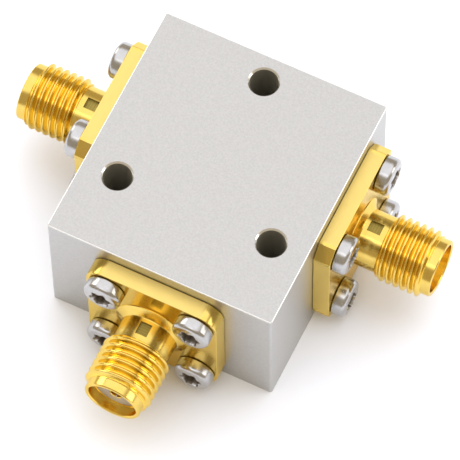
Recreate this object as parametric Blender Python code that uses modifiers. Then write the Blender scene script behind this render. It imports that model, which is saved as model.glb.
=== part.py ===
"""Three-port coaxial circulator with flange-mounted threaded jacks.

Run with: blender --background --python part.py
Units are metres, +Z is up, and the origin is the centre of the housing's base.
The front port looks along -Y, and the side ports look along +X and -X.
"""
import math

import bmesh
import bpy

MM = 0.001

# Housing
HOUSING_LENGTH = 21.8 * MM
HOUSING_WIDTH = 23.5 * MM
HOUSING_HEIGHT = 14.6 * MM
HOUSING_CORNER_RADIUS = 0.25 * MM
HOUSING_CORNER_SEGMENTS = 3
HOUSING_EDGE_BREAK = 0.1 * MM

# Through holes that bolt the housing down
MOUNT_HOLE_RADIUS = 1.3 * MM
MOUNT_HOLE_CHAMFER = 0.15 * MM
BACK_HOLE_INSET = 2.5 * MM
FRONT_HOLE_INSET = 3.4 * MM
FRONT_HOLE_SPACE = 3.33 * MM

# Ports: the side ports sit behind the centre, where the junction's arms come out
PORT_HEIGHT = 6.8 * MM
SIDE_PORT_OFFSET = 2.9 * MM
PORT_BORE_RADIUS = 2.2 * MM

# Clearances
SEAT_GAP = 0.05 * MM
SLIDE_GAP = 0.05 * MM

# Ferrite junction: a stack of discs in a round cavity, closed from below
SIDE_WALL = 4.0 * MM
END_WALL = 4.8 * MM
CAVITY_RADIUS = min(HOUSING_LENGTH / 2 - SIDE_WALL, HOUSING_WIDTH / 2 - END_WALL)
COVER_CHAMFER = 0.25 * MM
SPANNER_HOLE_RADIUS = 0.7 * MM
SPANNER_HOLE_DEPTH = 0.8 * MM
SPANNER_HOLE_INSET = 2.5 * MM
MAGNET_SIDE_GAP = 0.7 * MM
MAGNET_THICKNESS = 1.9 * MM
MAGNET_CHAMFER = 0.2 * MM
POLE_THICKNESS = 0.9 * MM
GROUND_THICKNESS = 0.4 * MM
DISC_RADIUS = CAVITY_RADIUS - SLIDE_GAP
# The ferrite's edge as a share of the disc's radius, the rest being the dielectric ring
FERRITE_SHARE = 0.635
FERRITE_RADIUS = DISC_RADIUS * FERRITE_SHARE - SLIDE_GAP
FERRITE_THICKNESS = 1.6 * MM
STRIP_THICKNESS = 0.2 * MM
JUNCTION_INSET = 1.2 * MM
JUNCTION_RADIUS = FERRITE_RADIUS - JUNCTION_INSET
ARM_WIDTH = 1.2 * MM
ARM_SPREAD = math.radians(120)

# Threaded jack, measured outwards from the face of the housing
FLANGE_SIZE = 12.7 * MM
FLANGE_THICKNESS = 1.65 * MM
FRONT_CORNER_SIZE = 1.75 * MM
SIDE_CORNER_SIZE = 1.15 * MM
FLANGE_EDGE_BREAK = 0.06 * MM
FRONT_CORNER_SEGMENTS = 4
SIDE_CORNER_SEGMENTS = 1
COLLAR_RADIUS = 3.5 * MM
COLLAR_RIM = 0.05 * MM
COLLAR_HEIGHT = 0.45 * MM
NECK_RADIUS = 2.65 * MM
THREAD_START = 4.3 * MM
THREAD_END = 8.75 * MM
THREAD_RADIUS = 3.125 * MM
THREAD_PITCH = 0.7056 * MM
THREAD_DEPTH = 0.42 * MM
THREAD_CREST = 0.12 * MM
THREAD_ROOT = 0.1 * MM
THREAD_LEAD_IN = 0.25 * MM
SLEEVE_RADIUS = 2.675 * MM
TIP_END = 9.6 * MM
TIP_CHAMFER = 0.08 * MM
MOUTH_RADIUS = 2.3 * MM
MOUTH_DEPTH = 1.0 * MM
POCKET_CENTRE = 3.15 * MM
POCKET_LENGTH = 1.25 * MM
POCKET_WIDTH = 1.1 * MM
POCKET_DEPTH = 0.35 * MM

# Insulator and centre contact of a jack: the tail stops short of the cavity
INSULATOR_RADIUS = 2.1 * MM
CONTACT_RADIUS = 0.635 * MM
CONTACT_PROUD = 0.2 * MM
CONTACT_TAIL_RADIUS = 0.45 * MM
CONTACT_TAIL_LENGTH = 1.6 * MM
CONTACT_END_GAP = 0.45 * MM
CONTACT_LAP = 1.2 * MM
SOCKET_RADIUS = 0.47 * MM
SOCKET_DEPTH = 2.6 * MM
SOCKET_SLOT_WIDTH = 0.16 * MM
SOCKET_SLOT_DEPTH = 2.2 * MM

# Flange screws
SCREW_INSET = 2.03 * MM
SCREW_PITCH = FLANGE_SIZE - 2 * SCREW_INSET
SCREW_RADIUS = 1.1 * MM
SCREW_DEPTH = 2.8 * MM
SCREW_HEAD_RADIUS = 1.7 * MM
SCREW_HEAD_HEIGHT = 1.3 * MM
SCREW_HEAD_ROUND = 0.35 * MM
SCREW_HEAD_GAP = 0.1 * MM
SCREW_HOLE_CLEARANCE = 0.1 * MM
SCREW_HOLE_SPARE = 0.3 * MM
DRILL_POINT_SLOPE = math.tan(math.radians(31))
LOBE_MEAN_RADIUS = 0.85 * MM
LOBE_WAVE = 0.15 * MM
LOBE_COUNT = 6
LOBE_DEPTH = 0.8 * MM

# Facets round a circle
HOLE_STEPS = 12
SCREW_STEPS = 16
ROUND_STEPS = 20
LARGE_STEPS = 28
LOBE_STEPS = 24
SHOULDER_STEPS = 2

# How far a cutter runs past the face that it opens
OVERCUT = 1.0 * MM
MERGE_DISTANCE = 1e-7

# Name, centre of the port on the housing's face, and turn about Z from the front port
PORTS = (
    ("front", (0, -HOUSING_WIDTH / 2), 0),
    ("right", (HOUSING_LENGTH / 2, SIDE_PORT_OFFSET), math.radians(90)),
    ("left", (-HOUSING_LENGTH / 2, SIDE_PORT_OFFSET), math.radians(-90)),
)
# Name and place of each flange screw, as signs across and up the flange
FLANGE_CORNERS = (
    ("upper_left", -1, 1),
    ("upper_right", 1, 1),
    ("lower_left", -1, -1),
    ("lower_right", 1, -1),
)
# One hole at the back, and two in front of the side ports' screws
BACK_HOLE_Y = HOUSING_WIDTH / 2 - BACK_HOLE_INSET
FRONT_HOLE_X = HOUSING_LENGTH / 2 - FRONT_HOLE_INSET
FRONT_HOLE_Y = SIDE_PORT_OFFSET - SCREW_PITCH / 2 - FRONT_HOLE_SPACE
MOUNT_HOLES = (
    (0, BACK_HOLE_Y),
    (-FRONT_HOLE_X, FRONT_HOLE_Y),
    (FRONT_HOLE_X, FRONT_HOLE_Y),
)
# Name, colour, roughness and metallic value
FINISHES = {
    "housing": ((0.70, 0.69, 0.66), 0.38, 1.0),
    "cover": ((0.66, 0.65, 0.63), 0.35, 1.0),
    "gold": ((0.93, 0.66, 0.23), 0.2, 1.0),
    "screw": ((0.62, 0.60, 0.57), 0.25, 1.0),
    "insulator": ((0.70, 0.64, 0.58), 0.5, 0.0),
    "conductor": ((0.85, 0.50, 0.30), 0.3, 1.0),
    "ferrite": ((0.05, 0.05, 0.055), 0.55, 0.0),
    "dielectric": ((0.88, 0.86, 0.80), 0.45, 0.0),
    "magnet": ((0.32, 0.32, 0.33), 0.3, 1.0),
    "pole": ((0.52, 0.52, 0.53), 0.35, 1.0),
    "ground": ((0.80, 0.79, 0.76), 0.3, 1.0),
}


# Scene and objects

def clear_scene():
    for item in list(bpy.data.objects):
        bpy.data.objects.remove(item)
    for group in list(bpy.data.collections):
        bpy.data.collections.remove(group)


def new_collection(name):
    group = bpy.data.collections.new(name)
    bpy.context.scene.collection.children.link(group)
    return group


def finish_material(name):
    found = bpy.data.materials.get(name)
    if found:
        return found
    colour, roughness, metallic = FINISHES[name]
    material = bpy.data.materials.new(name)
    material.use_nodes = True
    shader = material.node_tree.nodes["Principled BSDF"]
    shader.inputs["Base Color"].default_value = (*colour, 1)
    shader.inputs["Roughness"].default_value = roughness
    shader.inputs["Metallic"].default_value = metallic
    return material


def add_object(name, mesh, group):
    item = bpy.data.objects.new(name, mesh)
    group.objects.link(item)
    return item


def add_part(name, mesh, finish, parent=None, location=(0, 0, 0)):
    item = add_object(name, mesh, parts)
    item.parent = parent
    item.location = location
    mesh.materials.clear()
    mesh.materials.append(finish_material(finish))
    mesh.shade_smooth()
    mesh.set_sharp_from_angle(angle=math.radians(30))
    return item


def as_cutter(item):
    item.hide_render = True
    item.display_type = "WIRE"
    return item


# Shapes

def mesh_from_bmesh(name, shape):
    mesh = bpy.data.meshes.new(name)
    shape.to_mesh(mesh)
    shape.free()
    return mesh


def turned(name, profile, steps, closed=False):
    """Solid of revolution about Z; profile is (radius, height) from top to bottom."""
    shape = bmesh.new()
    points = [shape.verts.new((radius, 0, height)) for radius, height in profile]
    for first, second in zip(points, points[1:]):
        shape.edges.new((first, second))
    if closed:
        shape.edges.new((points[-1], points[0]))
    item = add_object(name, mesh_from_bmesh(name, shape), cutters)
    spin = item.modifiers.new("Turn", "SCREW")
    spin.steps = steps
    spin.render_steps = steps
    spin.use_merge_vertices = True
    spin.merge_threshold = MERGE_DISTANCE
    return item


def disc(name, radius, bottom, top, steps, chamfer=0.0):
    """Plain or chamfered disc on the Z axis."""
    profile = [(0, top), (radius, top), (radius, bottom), (0, bottom)]
    if chamfer:
        profile = [
            (0, top), (radius - chamfer, top), (radius, top - chamfer),
            (radius, bottom + chamfer), (radius - chamfer, bottom), (0, bottom),
        ]
    return turned(name, profile, steps)


def ring(name, outer, inner, bottom, top, steps):
    """Tube on the Z axis."""
    profile = [(outer, top), (outer, bottom), (inner, bottom), (inner, top)]
    return turned(name, profile, steps, closed=True)


def box(size, centre):
    shape = bmesh.new()
    bmesh.ops.create_cube(shape, size=1)
    bmesh.ops.scale(shape, vec=size, verts=shape.verts)
    bmesh.ops.translate(shape, vec=centre, verts=shape.verts)
    return shape


def block(name, size, centre):
    """Plain box as a cutter."""
    return add_object(name, mesh_from_bmesh(name, box(size, centre)), cutters)


def round_corners(shape, offset, segments):
    """Bevel the edges of a box that run along Z."""
    upright = [edge for edge in shape.edges
               if (edge.verts[0].co - edge.verts[1].co).xy.length < MERGE_DISTANCE]
    bmesh.ops.bevel(shape, geom=upright, offset=offset, segments=segments,
                    profile=0.5, affect="EDGES")


def break_edges(shape, height, offset):
    """Chamfer the edges that lie at one height."""
    level = [edge for edge in shape.edges
             if all(abs(vert.co.z - height) < MERGE_DISTANCE for vert in edge.verts)]
    bmesh.ops.bevel(shape, geom=level, offset=offset, segments=1, affect="EDGES")


def extruded(name, outline, bottom, top):
    """Flat outline, counter-clockwise, extruded along Z."""
    shape = bmesh.new()
    face = shape.faces.new([shape.verts.new((x, y, bottom)) for x, y in outline])
    grown = bmesh.ops.extrude_face_region(shape, geom=[face])
    moved = [part for part in grown["geom"] if isinstance(part, bmesh.types.BMVert)]
    bmesh.ops.translate(shape, vec=(0, 0, top - bottom), verts=moved)
    bmesh.ops.recalc_face_normals(shape, faces=shape.faces)
    return add_object(name, mesh_from_bmesh(name, shape), cutters)


def combine(item, operand, operation):
    """Cut or join another object, which stays in the file as a guide."""
    change = item.modifiers.new(operation.title(), "BOOLEAN")
    change.operation = operation
    change.object = as_cutter(operand)
    change.solver = "EXACT"


def weld(item):
    """Merge the coincident points that cuts leave."""
    merge = item.modifiers.new("Weld", "WELD")
    merge.merge_threshold = MERGE_DISTANCE


def evaluated_mesh(item, name):
    """The mesh of an object with its modifiers applied."""
    bpy.context.view_layer.update()
    graph = bpy.context.evaluated_depsgraph_get()
    mesh = bpy.data.meshes.new_from_object(item.evaluated_get(graph), depsgraph=graph)
    mesh.name = name
    return mesh


def baked(item, name):
    """Turn a finished shape and its guides into one plain mesh."""
    weld(item)
    mesh = evaluated_mesh(item, name)
    guides = {change.object for change in item.modifiers if change.type == "BOOLEAN"}
    for guide in (item, *guides):
        bpy.data.objects.remove(guide)
    return mesh


def finished_part(name, shape, finish):
    return add_part(name, baked(shape, name), finish)


# Housing

def mount_hole_cutter(name, place):
    """Through bore with a chamfer at each mouth."""
    wide = MOUNT_HOLE_RADIUS + MOUNT_HOLE_CHAMFER + OVERCUT
    profile = [
        (0, HOUSING_HEIGHT + OVERCUT),
        (wide, HOUSING_HEIGHT + OVERCUT),
        (MOUNT_HOLE_RADIUS, HOUSING_HEIGHT - MOUNT_HOLE_CHAMFER),
        (MOUNT_HOLE_RADIUS, MOUNT_HOLE_CHAMFER),
        (wide, -OVERCUT),
        (0, -OVERCUT),
    ]
    cutter = turned(name, profile, ROUND_STEPS)
    cutter.location = (*place, 0)
    return cutter


def screw_hole_cutter(name, port, place):
    """Blind hole with a drill point, under one flange screw."""
    radius = SCREW_RADIUS + SCREW_HOLE_CLEARANCE
    depth = SCREW_DEPTH + SCREW_HOLE_SPARE
    point = radius * DRILL_POINT_SLOPE
    profile = [(0, OVERCUT), (radius, OVERCUT), (radius, -depth), (0, -depth - point)]
    cutter = turned(name, profile, HOLE_STEPS)
    cutter.parent = port
    cutter.location = place
    return cutter


def make_housing(ports, cavity_roof):
    shape = box((HOUSING_LENGTH, HOUSING_WIDTH, HOUSING_HEIGHT), (0, 0, HOUSING_HEIGHT / 2))
    round_corners(shape, HOUSING_CORNER_RADIUS, HOUSING_CORNER_SEGMENTS)
    for height in (0, HOUSING_HEIGHT):
        break_edges(shape, height, HOUSING_EDGE_BREAK)
    housing = add_part("housing", mesh_from_bmesh("housing", shape), "housing")

    cavity = disc("cavity_cutter", CAVITY_RADIUS, -OVERCUT, cavity_roof, LARGE_STEPS)
    combine(housing, cavity, "DIFFERENCE")
    for number, place in enumerate(MOUNT_HOLES, 1):
        combine(housing, mount_hole_cutter(f"mount_hole_cutter_{number}", place), "DIFFERENCE")
    for name, port in ports.items():
        to_centre = max(abs(port.location.x), abs(port.location.y))
        bore = disc(f"{name}_bore_cutter", PORT_BORE_RADIUS, -to_centre, OVERCUT, ROUND_STEPS)
        bore.parent = port
        combine(housing, bore, "DIFFERENCE")
        for corner, place in screw_places():
            hole = screw_hole_cutter(f"{name}_{corner}_hole_cutter", port, place)
            combine(housing, hole, "DIFFERENCE")
    weld(housing)


# Ferrite junction

def stack_levels():
    """Bottom and top of each disc, from the middle of the stack outwards."""
    layers = (
        ("ferrite", FERRITE_THICKNESS),
        ("ground_plate", GROUND_THICKNESS),
        ("pole_piece", POLE_THICKNESS),
        ("magnet", MAGNET_THICKNESS),
    )
    strip_bottom = PORT_HEIGHT + SEAT_GAP
    strip_top = strip_bottom + STRIP_THICKNESS
    levels = {"strip": (strip_bottom, strip_top)}
    below = strip_bottom
    above = strip_top
    for name, thickness in layers:
        top = below - SEAT_GAP
        bottom = above + SEAT_GAP
        levels[f"lower_{name}"] = (top - thickness, top)
        levels[f"upper_{name}"] = (bottom, bottom + thickness)
        below = top - thickness
        above = bottom + thickness
    return levels


def make_stack(levels):
    for side in ("lower", "upper"):
        for layer, radius, chamfer in (("magnet", CAVITY_RADIUS - MAGNET_SIDE_GAP, MAGNET_CHAMFER),
                                       ("pole_piece", DISC_RADIUS, 0),
                                       ("ground_plate", DISC_RADIUS, 0),
                                       ("ferrite", FERRITE_RADIUS, 0)):
            name = f"{side}_{layer}"
            shape = disc(name, radius, *levels[name], LARGE_STEPS, chamfer)
            finished_part(name, shape, layer.split("_")[0])
        name = f"{side}_dielectric_ring"
        shape = ring(name, DISC_RADIUS, FERRITE_RADIUS + SLIDE_GAP, *levels[f"{side}_ferrite"],
                     LARGE_STEPS)
        finished_part(name, shape, "dielectric")


def make_cover(top):
    """Round plug that holds the stack up, with two blind holes for a pin spanner."""
    cover = disc("bottom_cover", DISC_RADIUS, 0, top, LARGE_STEPS, COVER_CHAMFER)
    for number, side in enumerate((-1, 1), 1):
        hole = disc(f"spanner_hole_cutter_{number}", SPANNER_HOLE_RADIUS, -OVERCUT,
                    SPANNER_HOLE_DEPTH, HOLE_STEPS)
        hole.location.x = side * (CAVITY_RADIUS - SPANNER_HOLE_INSET)
        combine(cover, hole, "DIFFERENCE")
    finished_part("bottom_cover", cover, "cover")


def bent_arm(bend, end):
    """Outline of an arm that leaves the centre, bends once and runs on along X."""
    half = ARM_WIDTH / 2
    direction = math.atan2(bend[1], bend[0])
    along = (math.cos(direction), math.sin(direction))
    root = math.sqrt(JUNCTION_RADIUS ** 2 - half ** 2)
    shift = half * math.tan(direction / 2)
    return [
        (along[0] * root + along[1] * half, along[1] * root - along[0] * half),
        (bend[0] + shift, bend[1] - half),
        (end, bend[1] - half),
        (end, bend[1] + half),
        (bend[0] - shift, bend[1] + half),
        (along[0] * root - along[1] * half, along[1] * root + along[0] * half),
    ]


def make_conductor(bottom, top):
    """Junction disc whose three arms leave 120 degrees apart and end on the contacts' flats."""
    half = ARM_WIDTH / 2
    root = math.sqrt(JUNCTION_RADIUS ** 2 - half ** 2)
    front_end = -contact_end(0) - CONTACT_LAP
    side_end = contact_end(SIDE_PORT_OFFSET) + CONTACT_LAP
    rise = ARM_SPREAD - math.pi / 2
    bend = (SIDE_PORT_OFFSET / math.tan(rise), SIDE_PORT_OFFSET)
    right = bent_arm(bend, side_end)
    left = [(-x, y) for x, y in reversed(right)]
    front = [(-half, -root), (-half, front_end), (half, front_end), (half, -root)]
    outline = []
    for arm, following in ((front, right), (right, left), (left, front)):
        outline += arm + junction_arc(arm[-1], following[0])
    strip = extruded("center_conductor", outline, bottom, top)
    finished_part("center_conductor", strip, "conductor")


def junction_arc(start, end):
    """Points round the junction disc between two arms, without its ends."""
    count = LARGE_STEPS // 4
    first = math.atan2(start[1], start[0])
    sweep = (math.atan2(end[1], end[0]) - first) % math.tau
    angles = [first + sweep * step / count for step in range(1, count)]
    return [(JUNCTION_RADIUS * math.cos(a), JUNCTION_RADIUS * math.sin(a)) for a in angles]


# Threaded jack

def screw_places():
    """Name and place on the port of each flange screw."""
    half = SCREW_PITCH / 2
    return [(corner, (across * half, up * half, 0)) for corner, across, up in FLANGE_CORNERS]


def thread_groove():
    """V groove swept along a helix, run out past both ends of the thread."""
    outside = THREAD_RADIUS + THREAD_DEPTH / 4
    root = THREAD_RADIUS - THREAD_DEPTH
    slope = (THREAD_PITCH - THREAD_CREST - THREAD_ROOT) / 2 / THREAD_DEPTH
    half_mouth = THREAD_ROOT / 2 + slope * (outside - root)
    profile = [
        (outside, half_mouth), (outside, -half_mouth),
        (root, -THREAD_ROOT / 2), (root, THREAD_ROOT / 2),
    ]
    start = THREAD_START - THREAD_PITCH
    raised = [(radius, start + height) for radius, height in profile]
    groove = turned("thread_groove", raised, ROUND_STEPS, closed=True)
    helix = groove.modifiers["Turn"]
    helix.use_merge_vertices = False
    helix.screw_offset = THREAD_PITCH
    helix.iterations = math.ceil((THREAD_END - THREAD_START) / THREAD_PITCH) + 2
    shape = bmesh.new()
    shape.from_mesh(evaluated_mesh(groove, "thread_groove"))
    open_edges = [edge for edge in shape.edges if edge.is_boundary]
    bmesh.ops.holes_fill(shape, edges=open_edges, sides=len(profile))
    bmesh.ops.recalc_face_normals(shape, faces=shape.faces)
    bpy.data.objects.remove(groove)
    return add_object("thread_groove_cutter", mesh_from_bmesh("thread_groove", shape), cutters)


def jack_body():
    """Turned outside of the jack, from inside the flange out to the tip."""
    root = THREAD_RADIUS - THREAD_DEPTH
    collar_rim = FLANGE_THICKNESS + COLLAR_RIM
    profile = [
        (0, TIP_END),
        (SLEEVE_RADIUS - TIP_CHAMFER, TIP_END),
        (SLEEVE_RADIUS, TIP_END - TIP_CHAMFER),
        (SLEEVE_RADIUS, THREAD_END),
        (root, THREAD_END),
        (THREAD_RADIUS, THREAD_END - THREAD_LEAD_IN),
        (THREAD_RADIUS, THREAD_START + THREAD_LEAD_IN),
        (root, THREAD_START),
        (NECK_RADIUS, THREAD_START),
        (NECK_RADIUS, collar_rim + COLLAR_HEIGHT),
        (COLLAR_RADIUS, collar_rim),
        (COLLAR_RADIUS, FLANGE_THICKNESS / 2),
        (0, FLANGE_THICKNESS / 2),
    ]
    return turned("jack_body", profile, ROUND_STEPS)


def jack_bore():
    """Stepped bore: a mouth with a broken edge, then the seat of the insulator."""
    floor = TIP_END - MOUTH_DEPTH
    inner = INSULATOR_RADIUS + SLIDE_GAP
    profile = [
        (0, TIP_END + OVERCUT),
        (MOUTH_RADIUS + TIP_CHAMFER + OVERCUT, TIP_END + OVERCUT),
        (MOUTH_RADIUS, TIP_END - TIP_CHAMFER),
        (MOUTH_RADIUS, floor),
        (inner, floor),
        (inner, -OVERCUT),
        (0, -OVERCUT),
    ]
    return turned("jack_bore_cutter", profile, ROUND_STEPS)


def flange_plate(corner_size, corner_segments):
    """Square plate with its four corners bevelled and its front edge broken."""
    thickness = FLANGE_THICKNESS - SEAT_GAP
    shape = box((FLANGE_SIZE, FLANGE_SIZE, thickness), (0, 0, SEAT_GAP + thickness / 2))
    round_corners(shape, corner_size, corner_segments)
    break_edges(shape, FLANGE_THICKNESS, FLANGE_EDGE_BREAK)
    return add_object("flange_plate", mesh_from_bmesh("flange_plate", shape), cutters)


def shell_mesh(name, corner_size, corner_segments):
    """One-piece flange, cone, neck, thread and sleeve."""
    shell = jack_body()
    combine(shell, thread_groove(), "DIFFERENCE")
    head_top = FLANGE_THICKNESS + SEAT_GAP + SCREW_HEAD_HEIGHT
    for corner, place in screw_places():
        spot_face = disc(f"spot_face_cutter_{corner}", SCREW_HEAD_RADIUS + SCREW_HEAD_GAP, 0,
                         head_top + SCREW_HEAD_GAP, SCREW_STEPS)
        spot_face.location = place
        combine(shell, spot_face, "DIFFERENCE")
    combine(shell, flange_plate(corner_size, corner_segments), "UNION")
    combine(shell, jack_bore(), "DIFFERENCE")
    pocket_size = (POCKET_WIDTH, POCKET_DEPTH + OVERCUT, POCKET_LENGTH)
    pocket_centre = (0, NECK_RADIUS + (OVERCUT - POCKET_DEPTH) / 2, POCKET_CENTRE)
    combine(shell, block("pocket_cutter", pocket_size, pocket_centre), "DIFFERENCE")
    for corner, place in screw_places():
        hole = disc(f"flange_hole_cutter_{corner}", SCREW_RADIUS + SCREW_HOLE_CLEARANCE,
                    -OVERCUT, FLANGE_THICKNESS + OVERCUT, HOLE_STEPS)
        hole.location = place
        combine(shell, hole, "DIFFERENCE")
    return baked(shell, name)


def contact_end(offset):
    """Distance from the centre at which a contact ends, along a port at this offset."""
    reach = CAVITY_RADIUS + CONTACT_END_GAP
    return math.sqrt(reach ** 2 - offset ** 2)


def insulator_mesh(tail):
    shape = ring("insulator", INSULATOR_RADIUS, CONTACT_RADIUS + SLIDE_GAP,
                 CONTACT_TAIL_LENGTH - tail, TIP_END - MOUTH_DEPTH, ROUND_STEPS)
    return baked(shape, "insulator")


def contact_mesh(tail):
    """Slotted socket in front, and a tail with a flat that the conductor's arm lies on."""
    front = TIP_END - MOUTH_DEPTH + CONTACT_PROUD
    shoulder = CONTACT_TAIL_LENGTH - tail
    profile = [
        (0, front), (CONTACT_RADIUS, front), (CONTACT_RADIUS, shoulder),
        (CONTACT_TAIL_RADIUS, shoulder), (CONTACT_TAIL_RADIUS, -tail), (0, -tail),
    ]
    contact = turned("contact", profile, HOLE_STEPS)
    socket = disc("socket_cutter", SOCKET_RADIUS, front - SOCKET_DEPTH, front + OVERCUT,
                  HOLE_STEPS)
    combine(contact, socket, "DIFFERENCE")
    height = SOCKET_SLOT_DEPTH + OVERCUT
    middle = front + OVERCUT - height / 2
    across = 2 * (CONTACT_RADIUS + OVERCUT)
    for name, size in (("slot_x", (across, SOCKET_SLOT_WIDTH, height)),
                       ("slot_y", (SOCKET_SLOT_WIDTH, across, height))):
        combine(contact, block(f"{name}_cutter", size, (0, 0, middle)), "DIFFERENCE")
    flat_end = -tail + CONTACT_LAP + 2 * SLIDE_GAP
    flat_size = (across, across, flat_end + tail + OVERCUT)
    flat_centre = (0, across / 2, flat_end - flat_size[2] / 2)
    combine(contact, block("tail_flat_cutter", flat_size, flat_centre), "DIFFERENCE")
    return baked(contact, "contact")


def lobe_outline():
    """Six-lobe recess: the radius follows a cosine of six times the angle."""
    points = []
    for step in range(LOBE_STEPS):
        angle = math.tau * step / LOBE_STEPS
        radius = LOBE_MEAN_RADIUS + LOBE_WAVE * math.cos(LOBE_COUNT * angle)
        points.append((radius * math.cos(angle), radius * math.sin(angle)))
    return points


def screw_mesh():
    """Pan head with a rounded shoulder, a six-lobe recess and a plain shank."""
    seat = FLANGE_THICKNESS + SEAT_GAP
    top = seat + SCREW_HEAD_HEIGHT
    shoulder = []
    for step in range(SHOULDER_STEPS + 1):
        angle = math.pi / 2 * (1 - step / SHOULDER_STEPS)
        shoulder.append((SCREW_HEAD_RADIUS - SCREW_HEAD_ROUND * (1 - math.cos(angle)),
                         top - SCREW_HEAD_ROUND * (1 - math.sin(angle))))
    profile = [(0, top), *shoulder, (SCREW_HEAD_RADIUS, seat), (SCREW_RADIUS, seat),
               (SCREW_RADIUS, -SCREW_DEPTH), (0, -SCREW_DEPTH)]
    screw = turned("screw", profile, SCREW_STEPS)
    recess = extruded("recess_cutter", lobe_outline(), top - LOBE_DEPTH, top + OVERCUT)
    combine(screw, recess, "DIFFERENCE")
    return baked(screw, "flange_screw")


def make_port(name, place, turn, meshes):
    """Empty on the housing's face with its Z outwards and its Y up, and what it carries."""
    kind = "front" if name == "front" else "side"
    port = bpy.data.objects.new(f"{name}_port", None)
    parts.objects.link(port)
    port.location = (*place, PORT_HEIGHT)
    port.rotation_euler = (math.radians(90), 0, turn)
    add_part(f"{name}_connector_shell", meshes[f"{kind}_shell"], "gold", port)
    add_part(f"{name}_insulator", meshes[f"{kind}_insulator"], "insulator", port)
    add_part(f"{name}_center_contact", meshes[f"{kind}_contact"], "gold", port)
    for corner, spot in screw_places():
        add_part(f"{name}_screw_{corner}", meshes["screw"], "screw", port, spot)
    return port


clear_scene()
parts = new_collection("rf_circulator")
cutters = new_collection("cutters")

front_tail = HOUSING_WIDTH / 2 - contact_end(0)
side_tail = HOUSING_LENGTH / 2 - contact_end(SIDE_PORT_OFFSET)
jack_meshes = {
    "front_shell": shell_mesh("rounded_shell", FRONT_CORNER_SIZE, FRONT_CORNER_SEGMENTS),
    "side_shell": shell_mesh("chamfered_shell", SIDE_CORNER_SIZE, SIDE_CORNER_SEGMENTS),
    "front_insulator": insulator_mesh(front_tail),
    "side_insulator": insulator_mesh(side_tail),
    "front_contact": contact_mesh(front_tail),
    "side_contact": contact_mesh(side_tail),
    "screw": screw_mesh(),
}
ports = {name: make_port(name, place, turn, jack_meshes) for name, place, turn in PORTS}
levels = stack_levels()
make_stack(levels)
make_cover(levels["lower_magnet"][0] - SEAT_GAP)
make_conductor(*levels["strip"])
make_housing(ports, levels["upper_magnet"][1] + SEAT_GAP)
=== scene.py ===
import math
import bmesh
import bpy
import numpy as np
from mathutils import Matrix, Vector


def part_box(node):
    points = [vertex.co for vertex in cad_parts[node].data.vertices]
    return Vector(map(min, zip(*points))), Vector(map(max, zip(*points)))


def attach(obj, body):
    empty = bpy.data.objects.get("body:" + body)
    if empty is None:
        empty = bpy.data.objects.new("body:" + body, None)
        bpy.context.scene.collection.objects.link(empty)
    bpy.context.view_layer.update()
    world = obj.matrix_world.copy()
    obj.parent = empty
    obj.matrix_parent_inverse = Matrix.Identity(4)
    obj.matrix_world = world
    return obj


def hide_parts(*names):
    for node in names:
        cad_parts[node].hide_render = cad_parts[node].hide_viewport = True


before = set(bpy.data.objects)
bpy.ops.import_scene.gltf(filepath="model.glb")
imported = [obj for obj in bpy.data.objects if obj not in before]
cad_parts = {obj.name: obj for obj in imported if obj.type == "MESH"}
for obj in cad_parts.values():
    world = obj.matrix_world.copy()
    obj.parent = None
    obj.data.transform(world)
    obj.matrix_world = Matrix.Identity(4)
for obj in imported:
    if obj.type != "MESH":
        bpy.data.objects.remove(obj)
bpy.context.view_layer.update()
mm = 0.001
print("frame loaded:", len(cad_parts), "nodes")


# Meshes from grids of points

def gridFaces(rows, columns, loopRows, loopColumns):
    # quads between row i and i + 1, column j and j + 1, wrapping round where a direction closes
    i, j = np.meshgrid(np.arange(rows if loopRows else rows - 1),
                       np.arange(columns if loopColumns else columns - 1), indexing="ij")
    nextRow = (i + 1) % rows
    nextColumn = (j + 1) % columns
    quads = np.stack([i * columns + j, i * columns + nextColumn,
                      nextRow * columns + nextColumn, nextRow * columns + j], axis=-1)
    return quads.reshape(-1, 4)


def meshFromGrid(name, grid, loopRows=False, loopColumns=True, caps=()):
    # grid is rows x columns x 3; caps names the end rows that a flat face closes
    rows, columns = grid.shape[:2]
    faces = gridFaces(rows, columns, loopRows, loopColumns).tolist()
    if "first" in caps:
        faces.append(list(range(columns))[::-1])
    if "last" in caps:
        faces.append(list(range((rows - 1) * columns, rows * columns)))
    mesh = bpy.data.meshes.new(name)
    mesh.from_pydata(grid.reshape(-1, 3), [], faces)
    closeMesh(mesh)
    return mesh


def closeMesh(mesh, distance=1e-8):
    # poles and seams become single points, and every face looks outwards
    work = bmesh.new()
    work.from_mesh(mesh)
    bmesh.ops.remove_doubles(work, verts=work.verts, dist=distance)
    bmesh.ops.dissolve_degenerate(work, edges=work.edges, dist=distance)
    bmesh.ops.recalc_face_normals(work, faces=work.faces)
    work.to_mesh(mesh)
    work.free()
    mesh.update()


def roundedLine(points, radii, steps, closed=False):
    # each corner of a line of (x, y) points becomes an arc that touches both of its sides:
    # it starts radius * tan(turn / 2) before the corner and turns about a centre square to the side
    points = [np.array(point, float) for point in points]
    count = len(points)
    line = []
    for index, (corner, radius) in enumerate(zip(points, radii)):
        ends = not closed and index in (0, count - 1)
        if ends or radius <= 0:
            line.append(corner[None])
            continue
        before = points[index - 1] - corner
        after = points[(index + 1) % count] - corner
        before /= np.linalg.norm(before)
        after /= np.linalg.norm(after)
        turn = math.pi - math.acos(np.clip(before @ after, -1, 1))
        start = corner + before * radius * math.tan(turn / 2)
        side = after - before * (after @ before)
        side /= np.linalg.norm(side)
        angles = np.linspace(0, turn, steps + 1)[:, None]
        line.append(start + radius * (1 - np.cos(angles)) * side - radius * np.sin(angles) * before)
    return np.concatenate(line)


def turned(radius, height, angle):
    # x = r cos t, y = r sin t, z = height
    return np.stack([radius * np.cos(angle), radius * np.sin(angle), height], axis=-1)


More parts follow.
